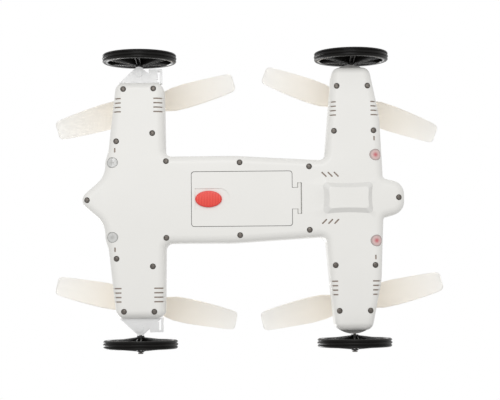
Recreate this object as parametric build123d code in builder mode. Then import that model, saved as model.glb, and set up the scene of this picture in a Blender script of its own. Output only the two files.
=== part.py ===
from build123d import *
import os
from math import cos, pi, radians, sin

# Flying-car quadcopter: an H-shaped body on four road wheels, with a rotor above each arm end.
# Row frame: +Z up, wheels on Z = 0, nose towards -Y, the car's left side is +X.

# ---------------------------------------------------------------- driving dimensions (mm)
UNDERSIDE_Z = 14.0      # flat underside above the ground
SEAM_Z = 24.0           # joint line of the two shells
ARM_TOP_Z = 42.0        # flat top of the arms
WALL = 1.6              # shell wall
UNDER_ROUND = 5.6       # rounding of the lower edges
TOP_ROUND = 5.0         # rounding of the upper edges

ARM_END_X = 85.4        # flat end of the front arms

WHEEL_R = 27.2
WHEEL_W = 6.5
WHEEL_X = 104.3         # middle of the tread
RIM_R = 24.6
RIM_INNER_R = 22.9
AXLE_Z = WHEEL_R
FRONT_AXLE_Y = -79.9
REAR_AXLE_Y = 75.3
KINGPIN_X = 92.6
AXLE_R = 1.0
AXLE_END_X = 110.3      # axle pins, under their heads
AXLE_HEAD_T = 0.8
HUB_END_X = 110.1       # outer ends of the wheel hubs
FRONT_HUB_IN_X = 97.9
REAR_HUB_IN_X = 98.5
REAR_CAP_X = 97.9       # rounded ends of the rear arms

HUB_X = 75.0            # rotor axes
FRONT_HUB_Y = -78.9
REAR_HUB_Y = 76.9
PROP_R = 70.0
PROP_Z = 72.0           # blade plane
TOWER_TOP_Z = 66.0
SHAFT_R = 1.0

MODULE = 0.5            # rotor gearing
GEAR_TEETH = 32
PINION_TEETH = 8
GEAR_Z = 17.0
GEAR_T = 2.0
GEAR_ROOM_R = 8.7       # room for the large gear beside the end wall
MOTOR_R = 4.25
MOTOR_Z = 19.6
MOTOR_L = 20.0

SCREW_HEAD_R = 2.0
SCREW_R = 0.95
SCREW_HEAD_T = 1.1
SCREW_TIP_Z = 27.3
BOSS_R = 2.5

DOOR_X = 19.6           # half width of the battery door
DOOR_FRONT_Y = -41.7
DOOR_REAR_Y = 30.6
DOOR_T = 1.4
DOOR_GAP = 0.4
HINGE_Y = 36.0
HINGE_Z = 15.3
LATCH_Y = -29.6
LATCH_TRAVEL = 5.0
LATCH_LONG = 19.3
LATCH_WIDE = 12.0

BAY_X = 17.0            # battery bay, inside
BAY_FRONT_Y = -38.0
BAY_REAR_Y = 27.0
BAY_TOP_Z = 27.6
LEDGE_Z = 17.0

SWITCH_Y = 46.0
SWITCH_TRAVEL = 3.0
SWITCH_DECK_Z = 47.0

SIDES = {"left": 1, "right": -1}
ENDS = {"front": FRONT_HUB_Y, "rear": REAR_HUB_Y}

os.makedirs("parts", exist_ok=True)


def keep(solid, name):
    """Label a finished piece and write it."""
    solid.label = name
    export_step(solid, f"parts/{name}.step")


def both_sides(places):
    """The same places on the left and the right side."""
    return [(side * x, y) for x, y in places for side in (1, -1)]


# ---------------------------------------------------------------- plan of the body
# Corners of the left half from nose to tail, each with the radius that rounds it.
NOSE_APEX = (0, -124.7, 7.3)
FLANK = [
    (17.6, -104.5, 16.0),    # nose flank runs into the front arm
    (28.0, -104.4, 6.0),
    (36.0, -102.0, 8.0),
    (ARM_END_X, -96.4, 6.2),      # front arm end
    (ARM_END_X, -61.8, 6.2),
    (31.4, -61.1, 5.0),      # inner corner, front arm to side
    (31.6, -12.0, 60.0),
    (27.6, 54.8, 5.0),       # inner corner, side to rear arm
    (95.2, 60.8, 6.2),       # rear arm end
    (95.2, 87.4, 6.2),
    (60.0, 94.6, 60.0),
    (14.2, 96.6, 3.0),       # rear arm runs into the tail lobe
    (10.4, 111.8, 9.8),      # end of the tail lobe
]
RIGHT_FLANK = [(-x, y, r) for x, y, r in reversed(FLANK)]
CORNERS = [NOSE_APEX] + FLANK + RIGHT_FLANK

with BuildSketch() as body_plan:
    with BuildLine():
        FilletPolyline(*[(x, y) for x, y, r in CORNERS], radius=[r for x, y, r in CORNERS], close=True)
    make_face()

with BuildSketch() as cavity_plan:
    add(body_plan.sketch)
    offset(amount=-WALL, mode=Mode.REPLACE)

# ---------------------------------------------------------------- places
SCREWS = [(0, -117.2), (0, 107.6)] + both_sides([
    (80.4, -90.8), (80.6, -69.0), (42.4, -96.0), (48.1, -69.9), (27.7, -60.1), (26.3, -7.0),
    (22.9, 43.1), (48.5, 61.4), (48.6, 90.0), (81.2, 63.8), (81.2, 86.1),
])
GEAR_CENTRE = MODULE * (GEAR_TEETH + PINION_TEETH) / 2
MOTOR_X = HUB_X - GEAR_CENTRE
HUBS = both_sides([(HUB_X, FRONT_HUB_Y), (HUB_X, REAR_HUB_Y)])
MOTORS = both_sides([(MOTOR_X, FRONT_HUB_Y), (MOTOR_X, REAR_HUB_Y)])
ARM_VENT_PITCH = 3.2
FRONT_VENT_X = 63.8     # innermost of four slots
REAR_VENT_X = 60.0
FRONT_LAMP = (27.0, -98.9, 3.8)      # x, y and radius of the lamps on the curved lower edge
REAR_LAMP = (31.0, 91.2, 4.1)


def lamp_cutters(lamp, extra=0.0):
    """Cylinders through the curved lower edge, one for the lamp on each side."""
    x, y, radius = lamp
    lean = (0, 0.5, -0.87) if y > 0 else (0, -0.5, -0.87)
    with BuildPart(mode=Mode.PRIVATE) as cutters:
        for side in SIDES.values():
            start = Plane(origin=(side * x, y - 4 * lean[1], UNDERSIDE_Z + 4), z_dir=lean)
            with BuildSketch(start):
                Circle(radius + extra)
            extrude(amount=12)
    return cutters.part


# ---------------------------------------------------------------- bottom shell
with BuildPart() as bottom_form:
    with BuildSketch(Plane.XY.offset(UNDERSIDE_Z)):
        add(body_plan.sketch)
    extrude(amount=SEAM_Z - UNDERSIDE_Z)
    fillet(bottom_form.faces().sort_by(Axis.Z)[0].edges(), UNDER_ROUND)

with BuildPart() as bottom_cavity:
    with BuildSketch(Plane.XY.offset(UNDERSIDE_Z + WALL)):
        add(cavity_plan.sketch)
    extrude(amount=SEAM_Z - UNDERSIDE_Z - WALL)
    fillet(bottom_cavity.faces().sort_by(Axis.Z)[0].edges(), UNDER_ROUND - WALL)


SLOT_W = 1.0


def arm_vents(first_x, y_from, y_to, top_z):
    """Four slots across one edge of an arm, on both sides of the car."""
    with BuildPart(mode=Mode.PRIVATE) as slots:
        for x, y in both_sides([(first_x + ARM_VENT_PITCH * i, (y_from + y_to) / 2) for i in range(4)]):
            with Locations((x, y, (UNDERSIDE_Z + top_z) / 2 - 1)):
                Box(SLOT_W, y_to - y_from, top_z - UNDERSIDE_Z + 2)
    return slots.part


def block(x0, x1, y0, y1, z0, z1):
    """A plain block between two corners."""
    with BuildPart(mode=Mode.PRIVATE) as plain:
        with Locations(((x0 + x1) / 2, (y0 + y1) / 2, (z0 + z1) / 2)):
            Box(x1 - x0, y1 - y0, z1 - z0)
    return plain.part


def posts(places, radius, z0, z1):
    """Upright cylinders of one size."""
    with BuildPart(mode=Mode.PRIVATE) as group:
        for x, y in places:
            with Locations((x, y, (z0 + z1) / 2)):
                Cylinder(radius, z1 - z0)
    return group.part


def pincushion(half_x, y0, y1, dip):
    """Four-cornered outline whose sides bend inwards by dip."""
    middle = (y0 + y1) / 2
    ThreePointArc((-half_x, y0), (0, y0 + dip), (half_x, y0))
    ThreePointArc((half_x, y0), (half_x - dip, middle), (half_x, y1))
    ThreePointArc((half_x, y1), (0, y1 - dip), (-half_x, y1))
    ThreePointArc((-half_x, y1), (-half_x + dip, middle), (-half_x, y0))


HINGE_BAR_R = 1.3
HINGE_PIN_R = 0.7
HINGE_BAR_X = 11.0
NECK_X = 7.6
TRAY_X = BAY_X + 1.4
TRAY_TOP_Z = BAY_TOP_Z + 1.2
BOARD_POSTS = both_sides([(14.0, -24.0), (14.0, 24.0)])
BOARD_Z = 32.0
BOARD_T = 1.2
TIP_WINDOW = (-87.0, -72.8)     # opening in the front arm's end wall, along Y
TIP_LOW_Z = 19.6
TIP_HIGH_Z = 35.0
PAD_Z = 11.4                    # lowest face of the raised pad

with BuildPart() as bottom_shell:
    add(bottom_form.part)
    # raised pad with sloping sides near the tail
    with BuildSketch(Plane.XY.offset(UNDERSIDE_Z + 0.4)) as pad_foot:
        with BuildLine():
            pincushion(12.4, 51.6, 90.0, 1.3)
        make_face()
        fillet(pad_foot.vertices(), 3.0)
    with BuildSketch(Plane.XY.offset(PAD_Z)) as pad_face:
        with BuildLine():
            pincushion(7.8, 57.0, 86.0, 0.7)
        make_face()
        fillet(pad_face.vertices(), 2.0)
    loft()
    # hollow inside, leaving the screw bosses, the door ledge, the hinge block and the tray's foot
    bottom_room = bottom_cavity.part + posts(HUBS, GEAR_ROOM_R, GEAR_Z - 0.3, SEAM_Z)
    bottom_room -= posts(SCREWS, BOSS_R, UNDERSIDE_Z, SEAM_Z)
    bottom_room -= block(-21.9, 21.9, -44.0, 33.0, UNDERSIDE_Z, LEDGE_Z)
    bottom_room -= block(-14.0, 14.0, 32.0, 40.4, UNDERSIDE_Z, LEDGE_Z + 1.6)
    bottom_room -= block(-TRAY_X, TRAY_X, BAY_FRONT_Y - 1.4, BAY_REAR_Y + 1.4, UNDERSIDE_Z, SEAM_Z)
    add(bottom_room, mode=Mode.SUBTRACT)
    # battery tray above the seam, with posts for the circuit board
    add(block(-TRAY_X, TRAY_X, BAY_FRONT_Y - 1.4, BAY_REAR_Y + 1.4, SEAM_Z, TRAY_TOP_Z))
    add(posts(BOARD_POSTS, 1.6, TRAY_TOP_Z, BOARD_Z))
    add(block(-BAY_X, BAY_X, BAY_FRONT_Y, BAY_REAR_Y, UNDERSIDE_Z, BAY_TOP_Z), mode=Mode.SUBTRACT)
    add(block(3.0, 9.0, BAY_REAR_Y - 1, BAY_REAR_Y + 2, 21.5, 25.5), mode=Mode.SUBTRACT)
    # seat of the door, room for the latch plate, and the slot of the hinge bar
    with BuildSketch(Plane.XY.offset(UNDERSIDE_Z - 0.5)):
        with Locations((0, (DOOR_FRONT_Y + DOOR_REAR_Y) / 2)):
            RectangleRounded(2 * (DOOR_X + DOOR_GAP), DOOR_REAR_Y - DOOR_FRONT_Y + 2 * DOOR_GAP, 2.2)
    extrude(amount=DOOR_T + 0.6, mode=Mode.SUBTRACT)
    add(block(-6.4, 6.4, DOOR_FRONT_Y - DOOR_GAP, BAY_FRONT_Y + 1, 15, LEDGE_Z), mode=Mode.SUBTRACT)
    add(block(-NECK_X - 0.3, NECK_X + 0.3, DOOR_REAR_Y, HINGE_Y, 13, 15.5), mode=Mode.SUBTRACT)
    add(block(-HINGE_BAR_X - 0.3, HINGE_BAR_X + 0.3, HINGE_Y - 1.5, HINGE_Y + 1.7, 13, LEDGE_Z),
        mode=Mode.SUBTRACT)
    with Locations(Location((0, HINGE_Y, HINGE_Z), (0, 90, 0))):
        Cylinder(HINGE_PIN_R + 0.05, 2 * HINGE_BAR_X + 3.4, mode=Mode.SUBTRACT)
    # screw seats
    add(posts(SCREWS, SCREW_HEAD_R + 0.15, UNDERSIDE_Z - 1, UNDERSIDE_Z + 1.3), mode=Mode.SUBTRACT)
    add(posts(SCREWS, SCREW_R + 0.15, UNDERSIDE_Z, SEAM_Z + 1), mode=Mode.SUBTRACT)
    # vents
    for side in SIDES.values():
        for i in range(3):
            with BuildSketch(Plane.XY.offset(UNDERSIDE_Z - 1)):
                with Locations(Location((side * 17.0, 53.8 + 4.4 * i), 45 * side + 90)):
                    SlotOverall(4.9, 1.1)
            extrude(amount=4, mode=Mode.SUBTRACT)
    add(arm_vents(FRONT_VENT_X, -69.0, -60.0, 18.0), mode=Mode.SUBTRACT)
    add(arm_vents(FRONT_VENT_X, -101.0, -92.5, 18.0), mode=Mode.SUBTRACT)
    add(arm_vents(REAR_VENT_X, 55.0, 63.0, 18.0), mode=Mode.SUBTRACT)
    add(arm_vents(REAR_VENT_X, 88.0, 96.0, 18.0), mode=Mode.SUBTRACT)
    # lamps and the short slot beside each
    add(lamp_cutters(FRONT_LAMP, 0.1), mode=Mode.SUBTRACT)
    add(lamp_cutters(REAR_LAMP, 0.1), mode=Mode.SUBTRACT)
    for x, y in both_sides([(35.9, -97.0), (42.9, 90.3)]):
        with BuildSketch(Plane.XY.offset(UNDERSIDE_Z - 1)):
            with Locations((x, y)):
                SlotOverall(3.4, 1.1)
        extrude(amount=4, mode=Mode.SUBTRACT)
    # window in the end of each front arm for the clear tip
    for side in SIDES.values():
        near, far = sorted((side * 80.0, side * 90.0))
        add(block(near, far, TIP_WINDOW[0] - 0.1, TIP_WINDOW[1] + 0.1, TIP_LOW_Z - 0.1, SEAM_Z + 1),
            mode=Mode.SUBTRACT)
keep(bottom_shell.part, "bottom_shell")

# ---------------------------------------------------------------- lamp lenses, flush with the edge
for lens_name, lamp in (("front_lenses", FRONT_LAMP), ("rear_lenses", REAR_LAMP)):
    with BuildPart() as lenses:
        add(lamp_cutters(lamp))
        add(bottom_form.part, mode=Mode.INTERSECT)
        add(bottom_cavity.part, mode=Mode.SUBTRACT)
    keep(lenses.part, lens_name)

# ---------------------------------------------------------------- top shell
# Side view of the arms: the top slopes down towards the nose and the tail.
ARM_SIDE_VIEW = [(-126, SEAM_Z), (-122, 28.5), (-98, ARM_TOP_Z), (88, ARM_TOP_Z), (114, 28), (118, SEAM_Z)]
SLOPE_ROUNDS = [0.1, 4, 30, 30, 4, 0.1]
# Cross sections of the raised fuselage: station along Y, half width, top.
FUSELAGE = [(-100, 8, 37.5), (-80, 17, 43.5), (-50, 24, 48), (-10, 26.5, 51), (30, 25, 50.5),
            (70, 19, 47), (100, 10, 39)]
FUSELAGE_FOOT_Z = 30.0
TOWER_FOOT_R = 12.0
TOWER_HEAD_R = 6.8
TUBE_R = 3.6
BUSH_R = 2.5
POCKET_R = 5.3


def fuselage(foot_z, inset):
    """Raised middle of the top shell, or its hollow when inset."""
    with BuildPart(mode=Mode.PRIVATE) as hump:
        for y, half, top in FUSELAGE:
            with BuildSketch(Plane(origin=(0, y, 0), x_dir=(1, 0, 0), z_dir=(0, -1, 0))):
                with Locations((0, (foot_z + top - inset) / 2)):
                    RectangleRounded(2 * (half - inset), top - inset - foot_z, 0.336 * (half - inset))
        loft()
    return hump.part


def towers(foot_z, inset):
    """Cones that carry the upper shaft bushes."""
    with BuildPart(mode=Mode.PRIVATE) as cones:
        for x, y in HUBS:
            with Locations((x, y, (foot_z + TOWER_TOP_Z - inset) / 2)):
                Cone(TOWER_FOOT_R - inset, TOWER_HEAD_R - inset, TOWER_TOP_Z - inset - foot_z)
    return cones.part


with BuildPart() as top_form:
    with BuildSketch(Plane.XY.offset(SEAM_Z)):
        add(body_plan.sketch)
    extrude(amount=ARM_TOP_Z - SEAM_Z)
    fillet(top_form.faces().sort_by(Axis.Z)[-1].edges(), TOP_ROUND)
    with BuildSketch(Plane.YZ):
        with BuildLine():
            FilletPolyline(*ARM_SIDE_VIEW, radius=SLOPE_ROUNDS, close=True)
        make_face()
    extrude(amount=120, both=True, mode=Mode.INTERSECT)
    add(fuselage(FUSELAGE_FOOT_Z, 0))
    add(towers(38.0, 0))


with BuildPart() as top_room:
    with BuildSketch(Plane.XY.offset(SEAM_Z)):
        add(cavity_plan.sketch)
    extrude(amount=ARM_TOP_Z - WALL - SEAM_Z)
    fillet(top_room.faces().sort_by(Axis.Z)[-1].edges(), TOP_ROUND - WALL)
    with BuildSketch(Plane.YZ):
        with BuildLine():
            FilletPolyline(*ARM_SIDE_VIEW, radius=SLOPE_ROUNDS, close=True)
        make_face()
        offset(amount=-WALL, mode=Mode.REPLACE)
    extrude(amount=120, both=True, mode=Mode.INTERSECT)
    with BuildSketch(Plane.XY.offset(SEAM_Z)):
        add(cavity_plan.sketch)
    extrude(amount=WALL)
    add(fuselage(FUSELAGE_FOOT_Z, WALL))
    add(towers(36.0, WALL))
    # what the roof carries: screw posts, shaft tubes, motor pockets, switch seat, axle bosses
    add(posts(SCREWS, BOSS_R, SEAM_Z, 60), mode=Mode.SUBTRACT)
    add(posts(HUBS, TUBE_R, SEAM_Z, TOWER_TOP_Z), mode=Mode.SUBTRACT)
    add(posts(MOTORS, POCKET_R, 30, 60), mode=Mode.SUBTRACT)
    add(posts(MOTORS, MOTOR_R + 0.03, 29.9, MOTOR_Z + MOTOR_L + 0.2))
    add(block(-5.5, 5.5, SWITCH_Y - 8, SWITCH_Y + 8, 44.4, 60), mode=Mode.SUBTRACT)
    for side in SIDES.values():
        near, far = sorted((side * 86.0, side * 96.0))
        add(block(near, far, REAR_AXLE_Y - 4, REAR_AXLE_Y + 4, SEAM_Z, 31.5), mode=Mode.SUBTRACT)

with BuildPart() as top_shell:
    add(top_form.part)
    # rounded caps at the ends of the rear arms
    for side in SIDES.values():
        with BuildSketch(Plane.XY.offset(SEAM_Z)):
            with BuildLine():
                ThreePointArc((side * 93.6, 62.4), (side * REAR_CAP_X, REAR_AXLE_Y - 0.6),
                              (side * 93.6, 86.2))
                Line((side * 93.6, 86.2), (side * 93.6, 62.4))
            make_face()
        extrude(amount=11.5)
    add(top_room.part, mode=Mode.SUBTRACT)
    # shaft tubes reach down beside the gears
    add(posts(HUBS, TUBE_R, GEAR_Z + GEAR_T + 1.4, 34))
    add(posts(HUBS, BUSH_R, 10, 80), mode=Mode.SUBTRACT)
    add(posts(SCREWS, SCREW_R + 0.02, SEAM_Z - 1, SCREW_TIP_Z + 0.8), mode=Mode.SUBTRACT)
    for side in SIDES.values():
        # wire notch of each motor pocket, window of the clear tip, bore of the rear axle
        for y in ENDS.values():
            near, far = sorted((side * (MOTOR_X - POCKET_R - 1), side * (MOTOR_X - MOTOR_R + 0.5)))
            add(block(near, far, y - 1.4, y + 1.4, 33.5, ARM_TOP_Z - WALL), mode=Mode.SUBTRACT)
        near, far = sorted((side * 80.0, side * 90.0))
        add(block(near, far, TIP_WINDOW[0] - 0.1, TIP_WINDOW[1] + 0.1, SEAM_Z - 1, TIP_HIGH_Z + 0.1),
            mode=Mode.SUBTRACT)
        with Locations(Location((side * 92.0, REAR_AXLE_Y, AXLE_Z), (0, 90, 0))):
            Cylinder(AXLE_R, 16, mode=Mode.SUBTRACT)
    # power switch: shallow seat in the roof with a slot
    add(block(-3.5, 3.5, SWITCH_Y - 6, SWITCH_Y + 6, SWITCH_DECK_Z, 60), mode=Mode.SUBTRACT)
    add(block(-0.9, 0.9, SWITCH_Y - 2.8, SWITCH_Y + 2.8, 44, 60), mode=Mode.SUBTRACT)
keep(top_shell.part, "top_shell")

# ---------------------------------------------------------------- canopy
CANOPY = [(-68, 5, 47.5), (-48, 14, 54), (-16, 17.5, 58), (14, 14.5, 56), (35, 6, 51)]
CANOPY_WALL = 1.2


def bubble(foot_z, inset):
    """Smooth bubble on the roof, or its hollow when inset."""
    with BuildPart(mode=Mode.PRIVATE) as drop:
        for y, half, top in CANOPY:
            with BuildSketch(Plane(origin=(0, y, 0), x_dir=(1, 0, 0), z_dir=(0, -1, 0))):
                with Locations((0, (foot_z + top - inset) / 2)):
                    RectangleRounded(2 * (half - inset), top - inset - foot_z, 0.7 * (half - inset))
        loft()
    return drop.part


with BuildPart() as canopy:
    add(bubble(30.0, 0))
    add(bubble(30.0, CANOPY_WALL), mode=Mode.SUBTRACT)
    add(top_form.part, mode=Mode.SUBTRACT)
keep(canopy.part, "canopy")

# ---------------------------------------------------------------- shell screws
SCREW_SEAT_Z = UNDERSIDE_Z + 0.2 + SCREW_HEAD_T
with BuildPart() as shell_screws:
    add(posts(SCREWS, SCREW_HEAD_R, SCREW_SEAT_Z - SCREW_HEAD_T, SCREW_SEAT_Z))
    for x, y in SCREWS:
        with Locations((x, y, SCREW_SEAT_Z - SCREW_HEAD_T)):
            Box(2.6, 0.55, 1.0, mode=Mode.SUBTRACT)
            Box(0.55, 2.6, 1.0, mode=Mode.SUBTRACT)
    add(posts(SCREWS, SCREW_R, SCREW_SEAT_Z, SCREW_TIP_Z))
keep(shell_screws.part, "shell_screws")

# ---------------------------------------------------------------- electronics
SOCKET_Z = BOARD_Z + BOARD_T
with BuildPart() as circuit_board:
    with Locations((0, 0, BOARD_Z + BOARD_T / 2)):
        Box(40, 60, BOARD_T)
    fillet(circuit_board.edges().filter_by(Axis.Z), 2)
    with BuildSketch(Plane.XY.offset(BOARD_Z)):
        with Locations(*[(x * 1.28, y * 1.1) for x, y in BOARD_POSTS]):
            Circle(0.8)
    extrude(amount=BOARD_T, mode=Mode.SUBTRACT)
keep(circuit_board.part, "circuit_board")

CHIPS = [(0, -6, 10, 10, 1.4), (11, -8, 4, 4, 1.0), (-11, 6, 6, 5, 1.2), (-10, -16, 5, 4, 1.6),
         (9, 10, 5, 3, 2.0)]
with BuildPart() as board_chips:
    for x, y, long, wide, high in CHIPS:
        with Locations((x, y, SOCKET_Z + high / 2)):
            Box(long, wide, high)
    with Locations((-3, -24, SOCKET_Z + 3)):
        Cylinder(2.5, 6)
keep(board_chips.part, "board_chips")

with BuildPart() as board_socket:
    with Locations((6, 26, SOCKET_Z + 2.2)):
        Box(7.4, 7, 4.4)
    with Locations((6, 28, SOCKET_Z + 2.3)):
        Box(6.0, 6, 3.0, mode=Mode.SUBTRACT)
keep(board_socket.part, "board_socket")

with BuildPart() as battery_plug:
    with Locations((6, 29.1, SOCKET_Z + 2.3)):
        Box(5.8, 7.8, 2.8)
keep(battery_plug.part, "battery_plug")

with BuildPart() as battery:
    with Locations((0, (BAY_FRONT_Y + BAY_REAR_Y) / 2 - 0.5, LEDGE_Z + 5.3)):
        Box(31, 60, 10)
    fillet(battery.edges().filter_by(Axis.Y), 2.5)
    fillet(battery.faces().sort_by(Axis.Y)[-1].edges(), 0.8)
keep(battery.part, "battery")

WIRE_R = 0.5
WIRE_PITCH = 1.08


def wires(route, radii, spread):
    """Two insulated wires side by side along one route of straight runs and arcs."""
    with BuildPart(mode=Mode.PRIVATE) as pair:
        for half in (-0.5, 0.5):
            places = [tuple(c + half * WIRE_PITCH * s for c, s in zip(point, spread)) for point in route]
            with BuildLine() as path:
                FilletPolyline(*places, radius=radii)
            with BuildSketch(Plane(origin=path.line @ 0, z_dir=path.line % 0)):
                Circle(WIRE_R)
            sweep(path=path.line)
    return pair.part


BATTERY_END_Y = (BAY_FRONT_Y + BAY_REAR_Y) / 2 - 0.5 + 30
with BuildPart() as battery_lead:
    add(wires([(6, BATTERY_END_Y, 23.5), (6, 45, 23.5), (6, 45, 35.5), (6, 33, 35.5)], [5.5, 5.5], (1, 0, 0)))
keep(battery_lead.part, "battery_lead")

with BuildPart() as motor_leads:
    for side in SIDES.values():
        for hub_y, pad_y in ((FRONT_HUB_Y, -25.5), (REAR_HUB_Y, 25.5)):
            toward = 1 if hub_y > 0 else -1
            route = [(side * (MOTOR_X - MOTOR_R - 0.1), hub_y, 37), (side * 31, hub_y - 3 * toward, 37),
                     (side * 15, 50 * toward, 36.5), (side * 15, pad_y, SOCKET_Z + 1.2)]
            add(wires(route, [14, 12], (0, 0, 1)))
keep(motor_leads.part, "motor_leads")

with BuildPart() as lamp_bulbs:
    for x, y, radius in (FRONT_LAMP, REAR_LAMP):
        toward = 1 if y > 0 else -1
        lean = (0, 0.5 * toward, -0.87)
        for side in SIDES.values():
            seat = Plane(origin=(side * x, y - 2.0 * toward, UNDERSIDE_Z + 4), z_dir=lean)
            with BuildSketch(seat.offset(-3.5)):
                Circle(1.5)
            extrude(amount=4.2)
            with Locations(seat.offset(0.7)):
                Sphere(1.5)
keep(lamp_bulbs.part, "lamp_bulbs")

# ---------------------------------------------------------------- power switch
with BuildPart() as switch_case:
    with Locations((0, SWITCH_Y, 42.6)):
        Box(7.6, 11, 3.6)
keep(switch_case.part, "switch_case")

with BuildPart() as switch_knob:
    start_y = SWITCH_Y - SWITCH_TRAVEL / 2
    with Locations((0, start_y, SWITCH_DECK_Z + 0.85)):
        Box(4.4, 4.8, 1.6)
    for i in range(-1, 2):
        with Locations((0, start_y + 1.3 * i, SWITCH_DECK_Z + 1.65)):
            Box(5.0, 0.6, 0.5, mode=Mode.SUBTRACT)
    with Locations((0, start_y, (44.46 + SWITCH_DECK_Z + 0.1) / 2)):
        Box(1.6, 2.2, SWITCH_DECK_Z + 0.1 - 44.46)
keep(switch_knob.part, "switch_knob")

# ---------------------------------------------------------------- battery door and its latch
RECESS_D = 0.7
with BuildPart() as battery_door:
    with BuildSketch(Plane.XY.offset(UNDERSIDE_Z)):
        with Locations((0, (DOOR_FRONT_Y + DOOR_REAR_Y) / 2)):
            RectangleRounded(2 * DOOR_X, DOOR_REAR_Y - DOOR_FRONT_Y, 2)
    extrude(amount=DOOR_T)
    add(block(-NECK_X, NECK_X, DOOR_REAR_Y - 1, HINGE_Y, UNDERSIDE_Z, UNDERSIDE_Z + DOOR_T))
    with Locations(Location((0, HINGE_Y, HINGE_Z), (0, 90, 0))):
        Cylinder(HINGE_BAR_R, 2 * HINGE_BAR_X)
        Cylinder(HINGE_PIN_R, 2 * HINGE_BAR_X + 2.8)
    # shallow thumb recess behind the latch, and the slot that the latch slides in
    with BuildSketch(Plane.XY.offset(UNDERSIDE_Z - 0.5)):
        with BuildLine():
            Polyline((-7.7, DOOR_FRONT_Y + 2.2), (7.7, DOOR_FRONT_Y + 2.2), (7.7, -22.0))
            ThreePointArc((7.7, -22.0), (0, -14.0), (-7.7, -22.0))
            Line((-7.7, -22.0), (-7.7, DOOR_FRONT_Y + 2.2))
        make_face()
    extrude(amount=RECESS_D + 0.5, mode=Mode.SUBTRACT)
    add(block(-2.2, 2.2, LATCH_Y - 4.2, LATCH_Y + 4.2 + LATCH_TRAVEL, 13, 16), mode=Mode.SUBTRACT)
keep(battery_door.part, "battery_door")

LATCH_BASE_Z = UNDERSIDE_Z + RECESS_D - 0.06
LATCH_FACE_Z = 12.7
RIDGES = 13
with BuildPart() as door_latch:
    with BuildSketch(Plane.XY.offset(LATCH_FACE_Z)):
        with Locations((0, LATCH_Y)):
            Ellipse(LATCH_WIDE / 2, LATCH_LONG / 2)
    extrude(amount=LATCH_BASE_Z - LATCH_FACE_Z)
    fillet(door_latch.faces().sort_by(Axis.Z)[0].edges(), 0.7)
    for i in range(RIDGES):
        groove_y = LATCH_Y + (i - (RIDGES - 1) / 2) * 1.15
        reach = LATCH_WIDE / 2 * (1 - ((groove_y - LATCH_Y) / (LATCH_LONG / 2 - 0.6)) ** 2) ** 0.5 - 0.9
        with Locations((0, groove_y, LATCH_FACE_Z)):
            Box(2 * reach, 0.5, 0.7, mode=Mode.SUBTRACT)
    # stem through the door and the catch plate behind it
    add(block(-2.0, 2.0, LATCH_Y - 4.0, LATCH_Y + 4.0, LATCH_BASE_Z - 0.1, 15.5))
    add(block(-5.5, 5.5, DOOR_FRONT_Y + 0.2, LATCH_Y + 6.0, 15.46, 16.7))
keep(door_latch.part, "door_latch")

# ---------------------------------------------------------------- front arm tips, knuckles and pins
PLATE_T = 2.0


def arm_tip(side):
    """Clear fork at the end of a front arm: two V plates, two posts and the steering stop."""
    with BuildPart(mode=Mode.PRIVATE) as tip:
        with BuildSketch(Plane.XY.offset(TIP_LOW_Z)) as plate:
            with BuildLine():
                root_x = side * (ARM_END_X + 0.06)
                FilletPolyline((root_x, -94.2), (side * 98.6, FRONT_AXLE_Y), (root_x, -64.8),
                               radius=[0.01, 3.4, 0.01], close=True)
            make_face()
        extrude(amount=PLATE_T)
        with BuildSketch(Plane.XY.offset(TIP_HIGH_Z - PLATE_T)):
            add(plate.sketch_local)
        extrude(amount=PLATE_T)
        with BuildSketch(Plane.XY.offset(TIP_LOW_Z - 0.9)):
            with Locations((side * KINGPIN_X, FRONT_AXLE_Y)):
                Circle(2.7)
        extrude(amount=1)
        near, far = sorted((side * (ARM_END_X - 2.2), side * (ARM_END_X + 0.1)))
        add(block(near, far, *TIP_WINDOW, TIP_LOW_Z, TIP_HIGH_Z))
        add(posts([(side * 87.0, -85.6), (side * 87.0, -74.8)], 1.2, TIP_LOW_Z, TIP_HIGH_Z))
        # steering stop beside the knuckle, carried by a web from the lower plate
        near, far = sorted((side * 88.0, side * 95.4))
        add(block(near, far, -72.6, -69.6, TIP_LOW_Z, TIP_LOW_Z + 6))
        add(block(near, far, -69.6, -66.0, TIP_LOW_Z, TIP_LOW_Z + PLATE_T))
        near, far = sorted((side * 85.0, side * 95.4))
        add(block(near, far, -64.6, -63.0, TIP_LOW_Z, TIP_LOW_Z + 6))
        near, far = sorted((side * 94.0, side * 95.4))
        add(block(near, far, -72.6, -63.0, TIP_LOW_Z, TIP_LOW_Z + 6))
        add(posts([(side * KINGPIN_X, FRONT_AXLE_Y)], 1.0, 10, 50), mode=Mode.SUBTRACT)
    return tip.part


def knuckle(side):
    """Clear steering knuckle: an upright barrel on the kingpin and a short arm for the axle."""
    with BuildPart(mode=Mode.PRIVATE) as swivel:
        with Locations((side * KINGPIN_X, FRONT_AXLE_Y, AXLE_Z)):
            Cylinder(3.1, TIP_HIGH_Z - TIP_LOW_Z - 2 * PLATE_T - 0.3)
        with Locations(Location((side * (KINGPIN_X + 2.4), FRONT_AXLE_Y, AXLE_Z), (0, 90, 0))):
            Cylinder(2.3, 4.8)
            Cylinder(AXLE_R, 12, mode=Mode.SUBTRACT)
        with Locations((side * KINGPIN_X, FRONT_AXLE_Y, AXLE_Z)):
            Cylinder(AXLE_R + 0.05, 30, mode=Mode.SUBTRACT)
    return swivel.part


def axle(side, y, inner_x):
    """Steel axle pin with a round head outside the wheel."""
    with BuildPart(mode=Mode.PRIVATE) as pin:
        with Locations(Location((side * (inner_x + AXLE_END_X) / 2, y, AXLE_Z), (0, 90, 0))):
            Cylinder(AXLE_R, AXLE_END_X - inner_x)
        with Locations(Location((side * (AXLE_END_X + AXLE_HEAD_T / 2), y, AXLE_Z), (0, 90, 0))):
            Cylinder(1.9, AXLE_HEAD_T)
    return pin.part


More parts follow.
